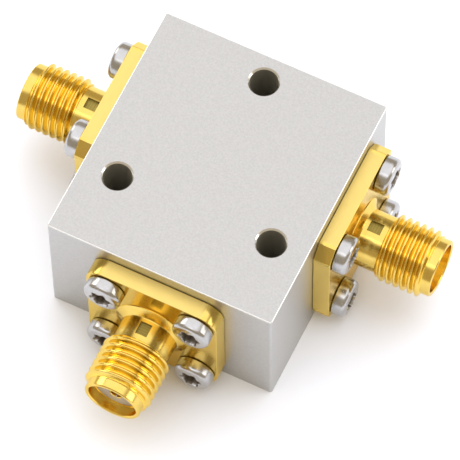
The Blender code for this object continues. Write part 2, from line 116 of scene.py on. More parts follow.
def revolved(profile, angle):
    # every (r, height) of the profile at every angle
    radius = np.broadcast_to(profile[:, 0, None], (len(profile), len(angle)))
    return turned(radius, profile[:, 1, None] + 0 * radius, angle)


def roundCircle(columns):
    return np.linspace(0, math.tau, columns, endpoint=False)


def revolve(profile, columns):
    return revolved(profile, roundCircle(columns))


def plateGrid(outline, profile):
    # the outline moves inwards by the profile's inset along its corner normals, at the profile's height
    ahead = np.roll(outline, -1, axis=0) - outline
    ahead /= np.linalg.norm(ahead, axis=1, keepdims=True)
    behind = np.roll(ahead, 1, axis=0)
    inward = np.stack([-(ahead + behind)[:, 1], (ahead + behind)[:, 0]], axis=-1)
    inward /= 0.5 * np.sum((ahead + behind) ** 2, axis=1, keepdims=True)
    flat = outline[None] + profile[:, 0, None, None] * inward[None]
    height = np.broadcast_to(profile[:, 1, None, None], flat.shape[:2] + (1,))
    return np.concatenate([flat, height], axis=-1)


def edgedProfile(bottom, top, lowEdge, highEdge, steps):
    # (inset, height) up the side of a plate, with a quarter round at each edge
    turn = np.linspace(0, math.pi / 2, steps)
    lower = np.stack([lowEdge * (1 - np.sin(turn)), bottom + lowEdge * (1 - np.cos(turn))], axis=-1)
    upper = np.stack([highEdge * (1 - np.cos(turn)), top - highEdge * (1 - np.sin(turn))], axis=-1)
    return np.concatenate([lower, upper])


def linkedObject(name, data):
    item = bpy.data.objects.new(name, data)
    bpy.context.scene.collection.objects.link(item)
    return item


def combined(name, base, cutters=(), joins=()):
    # solid base with other solids joined to it, then others cut away
    solid = linkedObject(name, base)
    guides = []
    for operation, meshes in (("UNION", joins), ("DIFFERENCE", cutters)):
        for mesh in meshes:
            guide = linkedObject("guide", mesh)
            guides.append(guide)
            change = solid.modifiers.new(operation, "BOOLEAN")
            change.operation = operation
            change.object = guide
            change.solver = "EXACT"
    bpy.context.view_layer.update()
    graph = bpy.context.evaluated_depsgraph_get()
    result = bpy.data.meshes.new_from_object(solid.evaluated_get(graph), depsgraph=graph)
    for item in (solid, *guides):
        bpy.data.objects.remove(item)
    closeMesh(result, 1e-7)
    result.name = name
    return result


def movedMesh(mesh, place):
    # a copy of the mesh with every point turned and moved by a 4 x 4 place
    copy = mesh.copy()
    points = np.empty(len(copy.vertices) * 3)
    copy.vertices.foreach_get("co", points)
    points = points.reshape(-1, 3) @ place[:3, :3].T + place[:3, 3]
    copy.vertices.foreach_set("co", points.ravel())
    copy.update()
    return copy


shading = dict(sharpAngle=35.0, normalWeight=50)


def addPiece(name, mesh, materials, node):
    # the piece stands for a CAD node, with smooth shading between its sharp edges
    mesh.name = name
    mesh.materials.clear()
    for material in materials:
        mesh.materials.append(material)
    mesh.shade_smooth()
    mesh.set_sharp_from_angle(angle=math.radians(shading["sharpAngle"]))
    piece = linkedObject(name, mesh)
    # broad flats keep their own normals beside the rounded edges
    normals = piece.modifiers.new("weighted", "WEIGHTED_NORMAL")
    normals.keep_sharp = True
    normals.weight = shading["normalWeight"]
    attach(piece, "root")
    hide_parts(node)
    return piece


# Places worked out from the frame

housingLow, housingHigh = (np.array(corner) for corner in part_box("housing"))
portDirections = {"front": (0, -1, 0), "right": (1, 0, 0), "left": (-1, 0, 0)}
overcut = 1.0  # mm that a cutter runs past the face it opens
touching = 0.001  # mm within which a face counts as lying on a surface


def faceAlong(outward):
    # how far out the housing's face is in a direction
    return np.max(np.array([housingLow, housingHigh]) @ outward)


def portPlace(port):
    # 4 x 4 place of a port: Z outwards from the housing's face, Y up, X across
    outward = np.array(portDirections[port], float)
    up = np.array([0, 0, 1.0])
    low, high = (np.array(corner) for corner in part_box(port + "_connector_shell"))
    origin = (low + high) / 2
    origin += outward * (faceAlong(outward) - origin @ outward)
    place = np.eye(4)
    place[:3, 0] = np.cross(up, outward)
    place[:3, 1] = up
    place[:3, 2] = outward
    place[:3, 3] = origin
    return place


def moved(x, y=0.0):
    # 4 x 4 place that moves along X and Y
    place = np.eye(4)
    place[:2, 3] = x, y
    return place


def keepLocal(mesh):
    # the point's own coordinates on the piece, which its turned finish follows
    points = np.empty(len(mesh.vertices) * 3, np.float32)
    mesh.vertices.foreach_get("co", points)
    local = mesh.attributes.new("local", "FLOAT_VECTOR", "POINT")
    local.data.foreach_set("vector", points)


# Jacks: flange, collar, neck, thread and sleeve in one piece

jack = dict(
    flangeSize=12.7, flangeThickness=1.65, edgeRound=0.06, backRound=0.05, seatGap=0.04,
    frontCornerRadius=1.75, sideCornerCut=1.15, sideCornerRadius=0.12,
    collarRadius=3.5, collarRim=0.05, collarHeight=0.45,
    neckRadius=2.65,
    threadStart=4.3, threadEnd=8.75, threadRadius=3.125, threadDepth=0.42, pitch=0.7056,
    leadIn=0.25, crestShare=0.14, rootShare=0.12, flankMix=(0.45, 0.55),
    behindRounds=(0, 0, 0.03, 0.12, 0.03, 0),
    aheadRounds=(0, 0.02, 0.03, 0.03, 0.03, 0.03, 0.02, 0.02, 0),
    sleeveRadius=2.675, tipEnd=9.6, tipChamfer=0.08,
    mouthRadius=2.3, mouthDepth=1.0, boreRadius=2.15,
    pocketCentre=3.15, pocketLength=1.25, pocketWidth=1.1, pocketDepth=0.35,
    screwPitch=8.64, screwHole=1.2, screwHoleTop=3.0, boreLap=0.5,
    columns=160, threadRows=220,
)


def screwSpots():
    # 4 x 4 places of a jack's four screws in the port's own frame
    half = jack["screwPitch"] / 2 * mm
    return [moved(across * half, up * half) for across in (-1, 1) for up in (-1, 1)]


def threadRadius(height, angle):
    # phase runs one for each turn; the radius is a trapezoid of the distance from the crest, its
    # flanks part straight and part smooth step, held under a cone at each end of the thread
    phase = height / jack["pitch"] - angle / math.tau
    away = np.abs(phase - np.floor(phase) - 0.5)
    crest, root = jack["crestShare"] / 2, 0.5 - jack["rootShare"] / 2
    rise = np.clip((root - away) / (root - crest), 0, 1)
    straight, smooth = jack["flankMix"]
    rise = straight * rise + smooth * rise * rise * (3 - 2 * rise)
    fromEnd = np.minimum(height - jack["threadStart"], jack["threadEnd"] - height)
    allowed = np.clip(fromEnd / jack["leadIn"], 0, 1)
    return jack["threadRadius"] - jack["threadDepth"] * (1 - np.minimum(rise, allowed))


def barrelMesh():
    # outer profile from inside the flange to the tip, then back along the stepped bore;
    # between the thread's ends the radius also follows the helix
    j = jack
    root = j["threadRadius"] - j["threadDepth"]
    chamfer = j["tipChamfer"]
    rim = j["flangeThickness"] + j["collarRim"]
    behind = roundedLine(
        [(j["boreRadius"], j["flangeThickness"] / 2), (j["collarRadius"], j["flangeThickness"] / 2),
         (j["collarRadius"], rim), (j["neckRadius"], rim + j["collarHeight"]),
         (j["neckRadius"], j["threadStart"]), (root, j["threadStart"])],
        j["behindRounds"], 5)
    ahead = roundedLine(
        [(root, j["threadEnd"]), (j["sleeveRadius"], j["threadEnd"]),
         (j["sleeveRadius"], j["tipEnd"] - chamfer), (j["sleeveRadius"] - chamfer, j["tipEnd"]),
         (j["mouthRadius"] + chamfer, j["tipEnd"]), (j["mouthRadius"], j["tipEnd"] - chamfer),
         (j["mouthRadius"], j["tipEnd"] - j["mouthDepth"]),
         (j["boreRadius"], j["tipEnd"] - j["mouthDepth"]),
         (j["boreRadius"], j["flangeThickness"] / 2)],
        j["aheadRounds"], 4)
    heights = np.linspace(j["threadStart"], j["threadEnd"], j["threadRows"] + 2)[1:-1]
    # two columns stand at each side of the pocket, so that its walls are upright
    side = math.asin(j["pocketWidth"] / 2 / j["neckRadius"])
    evenly = roundCircle(j["columns"])
    angle = np.sort(np.concatenate([evenly, [math.pi / 2 - side] * 2, [math.pi / 2 + side] * 2]))
    radius = threadRadius(heights[:, None], angle[None])
    thread = turned(radius, heights[:, None] + 0 * radius, angle)
    split = np.flatnonzero(behind[:, 1] < j["pocketCentre"])[-1] + 1
    grid = np.concatenate([revolved(behind[:split], angle), pocketRows(angle),
                           revolved(behind[split:], angle), thread, revolved(ahead[:-1], angle)])
    return meshFromGrid("barrel", grid * mm, loopRows=True)


def pocketRows(angle):
    # four rows across the neck: at each end of the pocket one row stays on the neck,
    # and one drops to the pocket's flat floor between the inner of its double columns
    j = jack
    ends = [j["pocketCentre"] - j["pocketLength"] / 2, j["pocketCentre"] + j["pocketLength"] / 2]
    line = [(j["neckRadius"], ends[0])] * 2 + [(j["neckRadius"], ends[1])] * 2
    rows = revolved(np.array(line), angle)
    within = np.flatnonzero(np.abs(rows[0, :, 0]) < j["pocketWidth"] / 2 + 1e-9)
    within = within[rows[0, within, 1] > 0][1:-1]
    rows[1:3, within, 1] = j["neckRadius"] - j["pocketDepth"]
    return rows


def flangeMesh(port):
    # square outline extruded between two rounded edges: the front flange's corners are round,
    # the side flanges' corners are cut straight
    j = jack
    half = j["flangeSize"] / 2
    if port == "front":
        corners = [(half, -half), (half, half), (-half, half), (-half, -half)]
        radius = j["frontCornerRadius"]
    else:
        near, radius = half - j["sideCornerCut"], j["sideCornerRadius"]
        corners = [(half, -near), (half, near), (near, half), (-near, half),
                   (-half, near), (-half, -near), (-near, -half), (near, -half)]
    outline = roundedLine(corners, [radius] * len(corners), 10, closed=True)
    profile = edgedProfile(j["seatGap"], j["flangeThickness"], j["backRound"], j["edgeRound"], 5)
    return meshFromGrid("flange", plateGrid(outline, profile) * mm, caps=("first", "last"))


def cylinderMesh(radius, bottom, top, columns=64):
    profile = np.array([(0, bottom), (radius, bottom), (radius, top), (0, top)])
    return meshFromGrid("cylinder", revolve(profile, columns) * mm)


def boxMesh(size, centre):
    # the eight corners as a two-row grid with flat ends
    x, y, z = np.array(size) / 2
    corners = np.array([(-x, -y), (x, -y), (x, y), (-x, y)])
    rows = [np.column_stack([corners, np.full(4, height)]) for height in (-z, z)]
    grid = np.array(rows) + np.array(centre)
    return meshFromGrid("box", grid * mm, caps=("first", "last"))


def shellMesh(port):
    j = jack
    bore = cylinderMesh(j["boreRadius"], -overcut, j["flangeThickness"] / 2 + j["boreLap"], j["columns"])
    hole = cylinderMesh(j["screwHole"], -overcut, j["screwHoleTop"])
    holes = [movedMesh(hole, spot) for spot in screwSpots()]
    return combined("shell", flangeMesh(port), [bore, *holes], [barrelMesh()])


def jackMesh(port):
    # the shell in the port's own frame, then set on the housing
    mesh = shellMesh(port)
    keepLocal(mesh)
    return movedMesh(mesh, portPlace(port))


def paintPocket(mesh, place):
    # the pocket's floor and its four walls take the second material
    j = jack
    centres = np.empty(len(mesh.polygons) * 3)
    mesh.polygons.foreach_get("center", centres)
    back = np.linalg.inv(place)
    x, y, z = ((centres.reshape(-1, 3) @ back[:3, :3].T + back[:3, 3]) / mm).T
    floorGap = y - (j["neckRadius"] - j["pocketDepth"])
    acrossGap = j["pocketWidth"] / 2 - np.abs(x)
    alongGap = j["pocketLength"] / 2 - np.abs(z - j["pocketCentre"])
    gaps = np.abs([floorGap, acrossGap, alongGap])
    inside = np.min([floorGap, acrossGap, alongGap], axis=0) > -touching
    inPocket = inside & (gaps.min(axis=0) < touching) & (y < j["neckRadius"])
    mesh.polygons.foreach_set("material_index", inPocket.astype(np.int32))


# Flange screws: pan head with a rounded shoulder and a six-lobe recess

screw = dict(
    seat=1.7, headRadius=1.78, headHeight=1.3, footRound=0.07, shoulderRound=0.46, crown=0.08,
    shankRadius=1.1, shankDepth=2.8, shankTipRound=0.1, seatRound=0.02,
    faceInset=0.2, faceDrop=0.02,
    lobeMean=0.93, lobeWave=0.14, lobeRim=0.03, lobeTaper=0.03, lobeDepth=0.8, lobeFloor=0.16,
    lobeFoot=(0.06, 0.03), floorCone=0.1, columns=96,
)
screwTurns = dict(
    front_screw_upper_left=12, front_screw_upper_right=5, front_screw_lower_left=20,
    front_screw_lower_right=9, right_screw_upper_left=3, right_screw_upper_right=17,
    right_screw_lower_left=24, right_screw_lower_right=11, left_screw_upper_left=7,
    left_screw_upper_right=26, left_screw_lower_left=15, left_screw_lower_right=2,
)


def screwMesh(turn):
    # rows from the point of the shank, round the head and down into the recess; the recess rows
    # follow a lobed circle, whose radius is the mean plus a cosine of six times the angle
    s = screw
    angle = roundCircle(s["columns"])
    top = s["seat"] + s["headHeight"]
    head, shoulder = s["headRadius"], s["shoulderRound"]
    outer = roundedLine(
        [(0, -s["shankDepth"]), (s["shankRadius"], -s["shankDepth"]), (s["shankRadius"], s["seat"]),
         (head, s["seat"]), (head, top - s["crown"]),
         (head - shoulder - s["faceInset"], top - s["faceDrop"])],
        [0, s["shankTipRound"], s["seatRound"], s["footRound"], shoulder, 0], 8)
    lobes = s["lobeMean"] + s["lobeWave"] * np.cos(6 * (angle - turn))
    # how far each recess row stands out from the lobed circle, and its height
    inner = [(s["lobeRim"] * 1.6, top), (s["lobeRim"] * 0.6, top - s["lobeRim"] * 0.3),
             (0, top - s["lobeRim"]), (-s["lobeTaper"], top - s["lobeDepth"]),
             (-s["lobeTaper"] - s["lobeFoot"][0], top - s["lobeDepth"] - s["lobeFoot"][1])]
    rows = [turned(lobes + grow, np.full(len(angle), height), angle) for grow, height in inner]
    floor = top - s["lobeDepth"] - s["lobeFloor"]
    for share in (0.5, 0.0):
        rows.append(turned(share * lobes, np.full(len(angle), floor + s["floorCone"] * share), angle))
    grid = np.concatenate([revolve(outer, s["columns"]), np.array(rows)])
    mesh = meshFromGrid("screw", grid * mm)
    keepLocal(mesh)
    return mesh


# Insulator and centre contact in the mouth of a jack

core = dict(
    radius=2.1, bore=0.685, edge=0.05, contactRadius=0.635, contactProud=0.2,
    pinRounds=(0, 0.04, 0, 0.03, 0.06, 0.06, 0.05, 0),
    socketRadius=0.47, socketDepth=2.6, socketCone=0.2, slotWidth=0.16, slotDepth=2.2,
    tailRadius=0.45, flatLength=2.3, flatMiddle=0.15, cutWidth=3.0, columns=96, pinColumns=64,
)


def tailOf(node, outward):
    # how far a node reaches behind the housing's face, in mm
    low, high = (np.array(corner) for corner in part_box(node))
    return (faceAlong(outward) - min(low @ outward, high @ outward)) / mm


def insulatorMesh(port):
    # a tube whose front edges are broken
    c, place = core, portPlace(port)
    front = jack["tipEnd"] - jack["mouthDepth"]
    back = -tailOf(port + "_insulator", place[:3, 2])
    profile = roundedLine(
        [(c["bore"], back), (c["radius"], back), (c["radius"], front), (c["bore"], front)],
        [0, 0, c["edge"], c["edge"]], 4)
    mesh = meshFromGrid("insulator", revolve(profile, c["columns"]) * mm, loopRows=True)
    return movedMesh(mesh, place)


def contactMesh(port, node):
    # a turned pin with a slotted socket in front and a thinner tail with a flat behind
    c, place = core, portPlace(port)
    front = jack["tipEnd"] - jack["mouthDepth"] + c["contactProud"]
    shoulder = -tailOf(port + "_insulator", place[:3, 2])
    back = -tailOf(node, place[:3, 2])
    profile = roundedLine(
        [(0, back), (c["tailRadius"], back), (c["tailRadius"], shoulder), (c["contactRadius"], shoulder),
         (c["contactRadius"], front), (c["socketRadius"], front),
         (c["socketRadius"], front - c["socketDepth"]), (0, front - c["socketDepth"] - c["socketCone"])],
        c["pinRounds"], 4)
    pin = meshFromGrid("pin", revolve(profile, c["pinColumns"]) * mm)
    depth, wide = c["slotDepth"] + overcut, c["cutWidth"]
    middle = front + overcut - depth / 2
    cuts = [boxMesh((wide, c["slotWidth"], depth), (0, 0, middle)),
            boxMesh((c["slotWidth"], wide, depth), (0, 0, middle)),
            boxMesh((wide, wide, c["flatLength"]), (0, wide / 2, back + c["flatMiddle"]))]
    return movedMesh(combined("contact", pin, cuts), place)


# Housing: one block with its holes, bores and cavity

block = dict(
    cornerRadius=0.25, edgeRound=0.08,
    holeRadius=1.3, holeChamfer=0.15, holePlaces=((0, 9.25), (-7.5, -4.75), (7.5, -4.75)),
    holeBlend=0.02, holeOver=0.6, holeColumns=64,
    boreRadius=2.2, screwHole=1.2, screwHoleDepth=3.1, screwHoleColumns=32,
    cavityRadius=6.9, cavityRoof=12.1, cavityColumns=128,
)


def mountHoleMesh(top):
    # a bore that opens through a small cone, blended at both of its edges, at each face
    b = block
    wide, over = b["holeRadius"] + b["holeChamfer"], b["holeOver"]
    upper = [(b["holeRadius"], top / 2), (b["holeRadius"], top - b["holeChamfer"]),
             (wide, top), (wide + over, top + over)]
    line = roundedLine(upper, [0, b["holeBlend"], b["holeBlend"], 0], 3)
    lower = np.column_stack([line[::-1, 0], top - line[::-1, 1]])
    profile = np.concatenate([[(0, -over)], lower[:-1], line, [(0, top + over)]])
    return meshFromGrid("mountHole", revolve(profile, b["holeColumns"]) * mm)


def housingMesh():
    b = block
    length, width, height = (housingHigh - housingLow) / mm
    x, y = length / 2, width / 2
    outline = roundedLine([(x, -y), (x, y), (-x, y), (-x, -y)], [b["cornerRadius"]] * 4, 8, True)
    profile = edgedProfile(0, height, b["edgeRound"], b["edgeRound"], 6)
    body = meshFromGrid("block", plateGrid(outline, profile) * mm, caps=("first", "last"))
    cuts = [cylinderMesh(b["cavityRadius"], -overcut, b["cavityRoof"], b["cavityColumns"])]
    for across, along in b["holePlaces"]:
        cuts.append(movedMesh(mountHoleMesh(height), moved(across * mm, along * mm)))
    for port in portDirections:
        place = portPlace(port)
        cuts.append(movedMesh(cylinderMesh(b["boreRadius"], -min(x, y), overcut), place))
        hole = cylinderMesh(b["screwHole"], -b["screwHoleDepth"], overcut, b["screwHoleColumns"])
        cuts += [movedMesh(hole, place @ spot) for spot in screwSpots()]
    return combined("housingBody", body, cuts)


def paintCuts(mesh):
    # the rounded edges and the cones at the mouths of the mounting holes take the second material, a
    # brighter, glossier cut metal that also paints a highlight line along the edges, and the holes'
    # bores the third, a lighter, warmer tone painted in as bounce light
    b = block
    centres = np.empty(len(mesh.polygons) * 3)
    mesh.polygons.foreach_get("center", centres)
    x, y, z = (centres.reshape(-1, 3) / mm).T
    fromFace = np.minimum(z - housingLow[2] / mm, housingHigh[2] / mm - z)
    # edge rounds: the bright cut metal paints a highlight line along them
    kinds = ((fromFace > touching) & (fromFace < b["edgeRound"])).astype(np.int32)
    for across, along in b["holePlaces"]:
        away = np.hypot(x - across, y - along) - b["holeRadius"]
        kinds[(away < b["holeChamfer"]) & (fromFace < b["holeChamfer"]) & (fromFace > touching)] = 1
        # the bores take the painted bounce light
        kinds[(away < 10 * touching) & (fromFace > b["holeChamfer"])] = 2
    mesh.polygons.foreach_set("material_index", kinds)


cover = dict(edge=0.22, columns=128, pinHole=0.7, pinHoleDepth=0.8, pinHoleAway=4.4, pinHoleColumns=48)


def coverMesh():
    # the plug that closes the cavity, with broken edges and two blind pin holes
    c = cover
    low, high = (np.array(corner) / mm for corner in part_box("bottom_cover"))
    radius = (high[0] - low[0]) / 2
    profile = roundedLine([(0, low[2]), (radius, low[2]), (radius, high[2]), (0, high[2])],
                          [0, c["edge"], c["edge"], 0], 6)
    plug = meshFromGrid("plug", revolve(profile, c["columns"]) * mm)
    hole = cylinderMesh(c["pinHole"], -overcut, c["pinHoleDepth"], c["pinHoleColumns"])
    cuts = [movedMesh(hole, moved(side * c["pinHoleAway"] * mm)) for side in (-1, 1)]
    return combined("coverPlug", plug, cuts)


# Materials

def newMaterial(name, colour, roughness, metallic, **settings):
    # settings name the shader's own sockets, with underscores for spaces
    material = bpy.data.materials.new(name)
    material.use_nodes = True
    shader = material.node_tree.nodes["Principled BSDF"]
    shader.inputs["Base Color"].default_value = (*colour, 1)
    shader.inputs["Roughness"].default_value = roughness
    shader.inputs["Metallic"].default_value = metallic
    for socket, value in settings.items():
        shader.inputs[socket.replace("_", " ")].default_value = value
    material.diffuse_color = (*colour, 1)
    return material


def addNode(material, kind, inputs=None, **settings):
    # inputs maps a socket's name or number to a value, or to another node's output
    node = material.node_tree.nodes.new("ShaderNode" + kind)
    for setting, value in settings.items():
        setattr(node, setting, value)
    for socket, value in (inputs or {}).items():
        if isinstance(value, bpy.types.NodeSocket):
            material.node_tree.links.new(value, node.inputs[socket])
        else:
            node.inputs[socket].default_value = value
    return node


def toShader(material, **outputs):
    shader = material.node_tree.nodes["Principled BSDF"]
    for socket, output in outputs.items():
        material.node_tree.links.new(output, shader.inputs[socket.replace("_", " ")])


def inMillimetres(material, point):
    scaled = addNode(material, "VectorMath", {0: point, "Scale": 1 / mm}, operation="SCALE")
    return scaled.outputs["Vector"]


def objectPoints(material):
    # points on the piece
    return inMillimetres(material, addNode(material, "TexCoord").outputs["Object"])


def localPoints(material):
    # points in the port's own frame
    local = addNode(material, "Attribute", attribute_name="local")
    return inMillimetres(material, local.outputs["Vector"])


def axisPoints(material, point):
    # (distance from the axis, 0, height): what a turning tool's lines depend on
    parts = addNode(material, "SeparateXYZ", {0: point})
    flat = addNode(material, "CombineXYZ", {0: parts.outputs[0], 1: parts.outputs[1]})
    radius = addNode(material, "VectorMath", {0: flat.outputs[0]}, operation="LENGTH")
    return addNode(material, "CombineXYZ", {0: radius.outputs["Value"],
                                            2: parts.outputs[2]}).outputs[0]


def stretched(material, point, scales):
    return addNode(material, "VectorMath", {0: point, 1: scales}, operation="MULTIPLY").outputs[0]


def noise(material, point, scale, detail=3.0, roughness=0.55):
    return addNode(material, "TexNoise", {"Vector": point, "Scale": scale, "Detail": detail,
                                          "Roughness": roughness}).outputs["Fac"]


def between(material, factor, low, high, fromLow=0.3, fromHigh=0.7):
    # factor from fromLow to fromHigh becomes low to high
    return addNode(material, "MapRange", {"Value": factor, "From Min": fromLow,
                                          "From Max": fromHigh, "To Min": low,
                                          "To Max": high}).outputs["Result"]


def blended(material, factor, first, second):
    node = addNode(material, "Mix", data_type="RGBA")
    sockets = [socket for socket in node.inputs if socket.type == "RGBA"]
    material.node_tree.links.new(factor, node.inputs[0])
    for socket, colour in zip(sockets, (first, second)):
        if isinstance(colour, bpy.types.NodeSocket):
            material.node_tree.links.new(colour, socket)
        else:
            socket.default_value = (*colour, 1)
    return next(socket for socket in node.outputs if socket.type == "RGBA")


def mixedValue(material, factor, first, second):
    return addNode(material, "Mix", {0: factor, 2: first, 3: second}).outputs[0]


def bumped(material, height, distance, strength):
    # distance in metres
    return addNode(material, "Bump", {"Height": height, "Distance": distance,
                                      "Strength": strength}).outputs["Normal"]


def calculated(material, operation, first, second):
    return addNode(material, "Math", {0: first, 1: second}, operation=operation).outputs[0]


plate = dict(
    silver=(0.56, 0.55, 0.53), silverDark=(0.475, 0.466, 0.448), silverRoughness=(0.36, 0.46),
    gold=(0.79, 0.572, 0.15), goldDeep=(0.765, 0.537, 0.12), goldRoughness=(0.16, 0.23),
    # painted bounce light: the first colour on the next line is the deeper, more saturated gold for the
    # thread's roots and the mouth
    paintedBounceGold=(0.87, 0.61, 0.11), goldMilled=(0.83, 0.625, 0.195), milledRoughness=(0.4, 0.48),
    goldTint=(1.0, 0.92, 0.7, 1.0), milledWithin=(4.7, 5.0),
    pocket=(0.34, 0.26, 0.06), pocketDark=(0.31, 0.23, 0.045), pocketLight=(0.38, 0.285, 0.065),
    pocketLines=25.0,
    steel=(0.54, 0.53, 0.52), steelDark=(0.47, 0.46, 0.45), steelRoughness=(0.2, 0.28),
    # painted shade: the first colour on the next line darkens the screw's recess
    recess=(0.29, 0.25, 0.2), recessRoughness=0.55, recessFrom=(1.08, 1.12),
    fluoropolymer=(0.5, 0.435, 0.37), fluoropolymerDark=(0.44, 0.38, 0.32),
)


def housingPlate():
    # satin silver with a fine etched grain
    material = newMaterial("satinSilver", plate["silver"], 0.4, 1.0)
    point = objectPoints(material)
    grain = noise(material, point, 5.5, 4.0, 0.7)
    colour = blended(material, between(material, grain, 0, 1, 0.35, 0.65),
                     plate["silverDark"], plate["silver"])
    toShader(material, Base_Color=colour,
             Roughness=between(material, grain, *plate["silverRoughness"]),
             Normal=bumped(material, grain, 8e-6, 0.7))
    return material


# mm from a size at which each mask begins and ends to change
fades = dict(
    flange=(-0.05, -0.02), aboveRoot=(-0.02, -0.01), groove=(0.05, 0.3), start=(-0.1, 0.0),
    # the recess fade sets where the painted shade begins below the screw head's top
    mouth=(0.02, 0.06), recess=(-0.3, -0.03),
)


def fadeAt(material, distance, size, name, low, high):
    # low to high where the distance passes the size
    first, last = fades[name]
    return between(material, distance, low, high, size + first, size + last)


def goldMasks(material, point, around):
    # where the flange's milled edges are, and the thread's roots and the mouth, which take the painted
    # bounce light
    parts = addNode(material, "SeparateXYZ", {0: around})
    radius, height = parts.outputs[0], parts.outputs[2]
    onFlange = fadeAt(material, height, jack["flangeThickness"], "flange", 1, 0)
    away = addNode(material, "VectorMath", {0: point}, operation="ABSOLUTE").outputs[0]
    sides = addNode(material, "SeparateXYZ", {0: away})
    inner = calculated(material, "MINIMUM", sides.outputs[0], sides.outputs[1])
    straight = between(material, inner, 1, 0, *plate["milledWithin"])
    milled = calculated(material, "MULTIPLY", onFlange, straight)
    root = jack["threadRadius"] - jack["threadDepth"]
    aboveRoot = fadeAt(material, radius, root, "aboveRoot", 0, 1)
    groove = fadeAt(material, radius, root, "groove", 1, 0)
    past = fadeAt(material, height, jack["threadStart"], "start", 0, 1)
    low = calculated(material, "MULTIPLY", aboveRoot, groove)
    mouth = fadeAt(material, radius, jack["mouthRadius"], "mouth", 1, 0)
    low = calculated(material, "MAXIMUM", low, mouth)
    return milled, calculated(material, "MULTIPLY", low, past)


def goldPlate(name="goldPlate", local=True):
    # bright gold over turning lines that run round the axis
    material = newMaterial(name, plate["gold"], 0.15, 1.0, Specular_Tint=plate["goldTint"])
    point = localPoints(material) if local else objectPoints(material)
    around = axisPoints(material, point)
    lines = noise(material, around, 16.0, 3.0)
    clouds = noise(material, point, 0.8, 2.0)
    colour = blended(material, between(material, clouds, 0, 1), plate["goldDeep"], plate["gold"])
    gloss = between(material, lines, *plate["goldRoughness"])
    if local:
        # the flange's edges are less bright, with lines along them; the thread's roots and the mouth
        # take a deeper, more saturated gold, painted in for light bounced between gold faces
        along = noise(material, stretched(material, point, (0.1, 0.1, 1)), 9.0, 3.0)
        milled, low = goldMasks(material, point, around)
        # painted bounce light in the thread's roots and the mouth
        colour = blended(material, low, colour, plate["paintedBounceGold"])
        colour = blended(material, milled, colour, plate["goldMilled"])
        gloss = mixedValue(material, milled, gloss,
                           between(material, along, *plate["milledRoughness"]))
        lines = mixedValue(material, milled, lines, along)
    toShader(material, Base_Color=colour, Roughness=gloss,
             Normal=bumped(material, lines, 1.2e-6, 0.5))
    return material


def pocketFloor():
    # dark filled pocket with tool lines straight across it
    material = newMaterial("pocketFloor", plate["pocket"], 0.55, 0.3, Specular_IOR_Level=0.2)
    height = addNode(material, "SeparateXYZ", {0: localPoints(material)}).outputs[2]
    wave = calculated(material, "MULTIPLY", height, plate["pocketLines"])
    ripple = addNode(material, "Math", {0: wave}, operation="SINE").outputs[0]
    colour = blended(material, between(material, ripple, 0, 1, -1, 1),
                     plate["pocketDark"], plate["pocketLight"])
    toShader(material, Base_Color=colour, Normal=bumped(material, ripple, 1e-5, 0.5))
    return material


def screwSteel():
    # bright stainless with faint forming marks; down in the recess it is duller, and its colour is
    # darkened there as painted shade
    material = newMaterial("screwSteel", plate["steel"], 0.18, 1.0)
    point = localPoints(material)
    fine = noise(material, point, 9.0, 4.0)
    clouds = noise(material, point, 1.1, 2.0)
    bright = blended(material, between(material, clouds, 0, 1), plate["steelDark"], plate["steel"])
    top = screw["seat"] + screw["headHeight"]
    parts = addNode(material, "SeparateXYZ", {0: axisPoints(material, point)})
    # painted shade: below the head's top and within the recess's radius the colour darkens to the recess
    # tone
    sunk = fadeAt(material, parts.outputs[2], top, "recess", 1, 0)
    central = between(material, parts.outputs[0], 1, 0, *plate["recessFrom"])
    recessShadeMask = calculated(material, "MULTIPLY", sunk, central)
    colour = blended(material, recessShadeMask, bright, plate["recess"])
    gloss = mixedValue(material, recessShadeMask, between(material, fine, *plate["steelRoughness"]),
                       plate["recessRoughness"])
    toShader(material, Base_Color=colour, Roughness=gloss,
             Normal=bumped(material, fine, 6e-7, 0.5))
    return material


def fluoropolymer():
    # waxy off-white with a little light through it
    material = newMaterial("fluoropolymer", plate["fluoropolymer"], 0.42, 0.0,
                           Subsurface_Weight=0.15, Subsurface_Scale=0.0006)
    point = objectPoints(material)
    clouds = noise(material, point, 1.6, 3.0)
    colour = blended(material, between(material, clouds, 0, 1), plate["fluoropolymerDark"],
                     plate["fluoropolymer"])
    toShader(material, Base_Color=colour,
             Roughness=between(material, clouds, 0.36, 0.48),
             Normal=bumped(material, noise(material, point, 14.0), 1.5e-6, 0.5))
    return material


def grained(name, colour, darker, roughness, metallic, scale, depth):
    # plain stock: two close tones, uneven gloss and a fine surface
    material = newMaterial(name, colour, roughness, metallic)
    point = objectPoints(material)
    fine = noise(material, point, scale, 4.0)
    toShader(material, Base_Color=blended(material, between(material, fine, 0, 1), darker, colour),
             Roughness=between(material, fine, roughness - 0.06, roughness + 0.06),
             Normal=bumped(material, fine, depth, 0.5))
    return material


silver = housingPlate()
# brighter, glossier cut metal for the hole chamfers and edge rounds: partly real cut metal and partly a
# painted highlight line along the edges
cutSilverAndHighlight = grained("cutSilverAndHighlight", (0.86, 0.85, 0.82), (0.8, 0.79, 0.76), 0.2, 1.0, 9.0, 1e-6)
# painted bounce light: the mounting holes' bores are lighter and warmer than the plate, standing in for
# light reaching down them
boreBounceSilver = grained("boreBounceSilver", (0.68, 0.65, 0.56), (0.62, 0.59, 0.5), 0.55, 1.0, 9.0, 4e-6)
coverPlate = grained("coverPlate", (0.68, 0.67, 0.65), (0.62, 0.61, 0.59), 0.34, 1.0, 7.0, 5e-6)
gold = goldPlate()
contactGold = goldPlate("contactGold", local=False)
pocketDark = pocketFloor()
steel = screwSteel()
ptfe = fluoropolymer()
print("materials made")


# Pieces

body = addPiece("housing_body", housingMesh(), [silver, cutSilverAndHighlight, boreBounceSilver], "housing")
paintCuts(body.data)
addPiece("cover_plug", coverMesh(), [coverPlate], "bottom_cover")
print("housing and cover made")

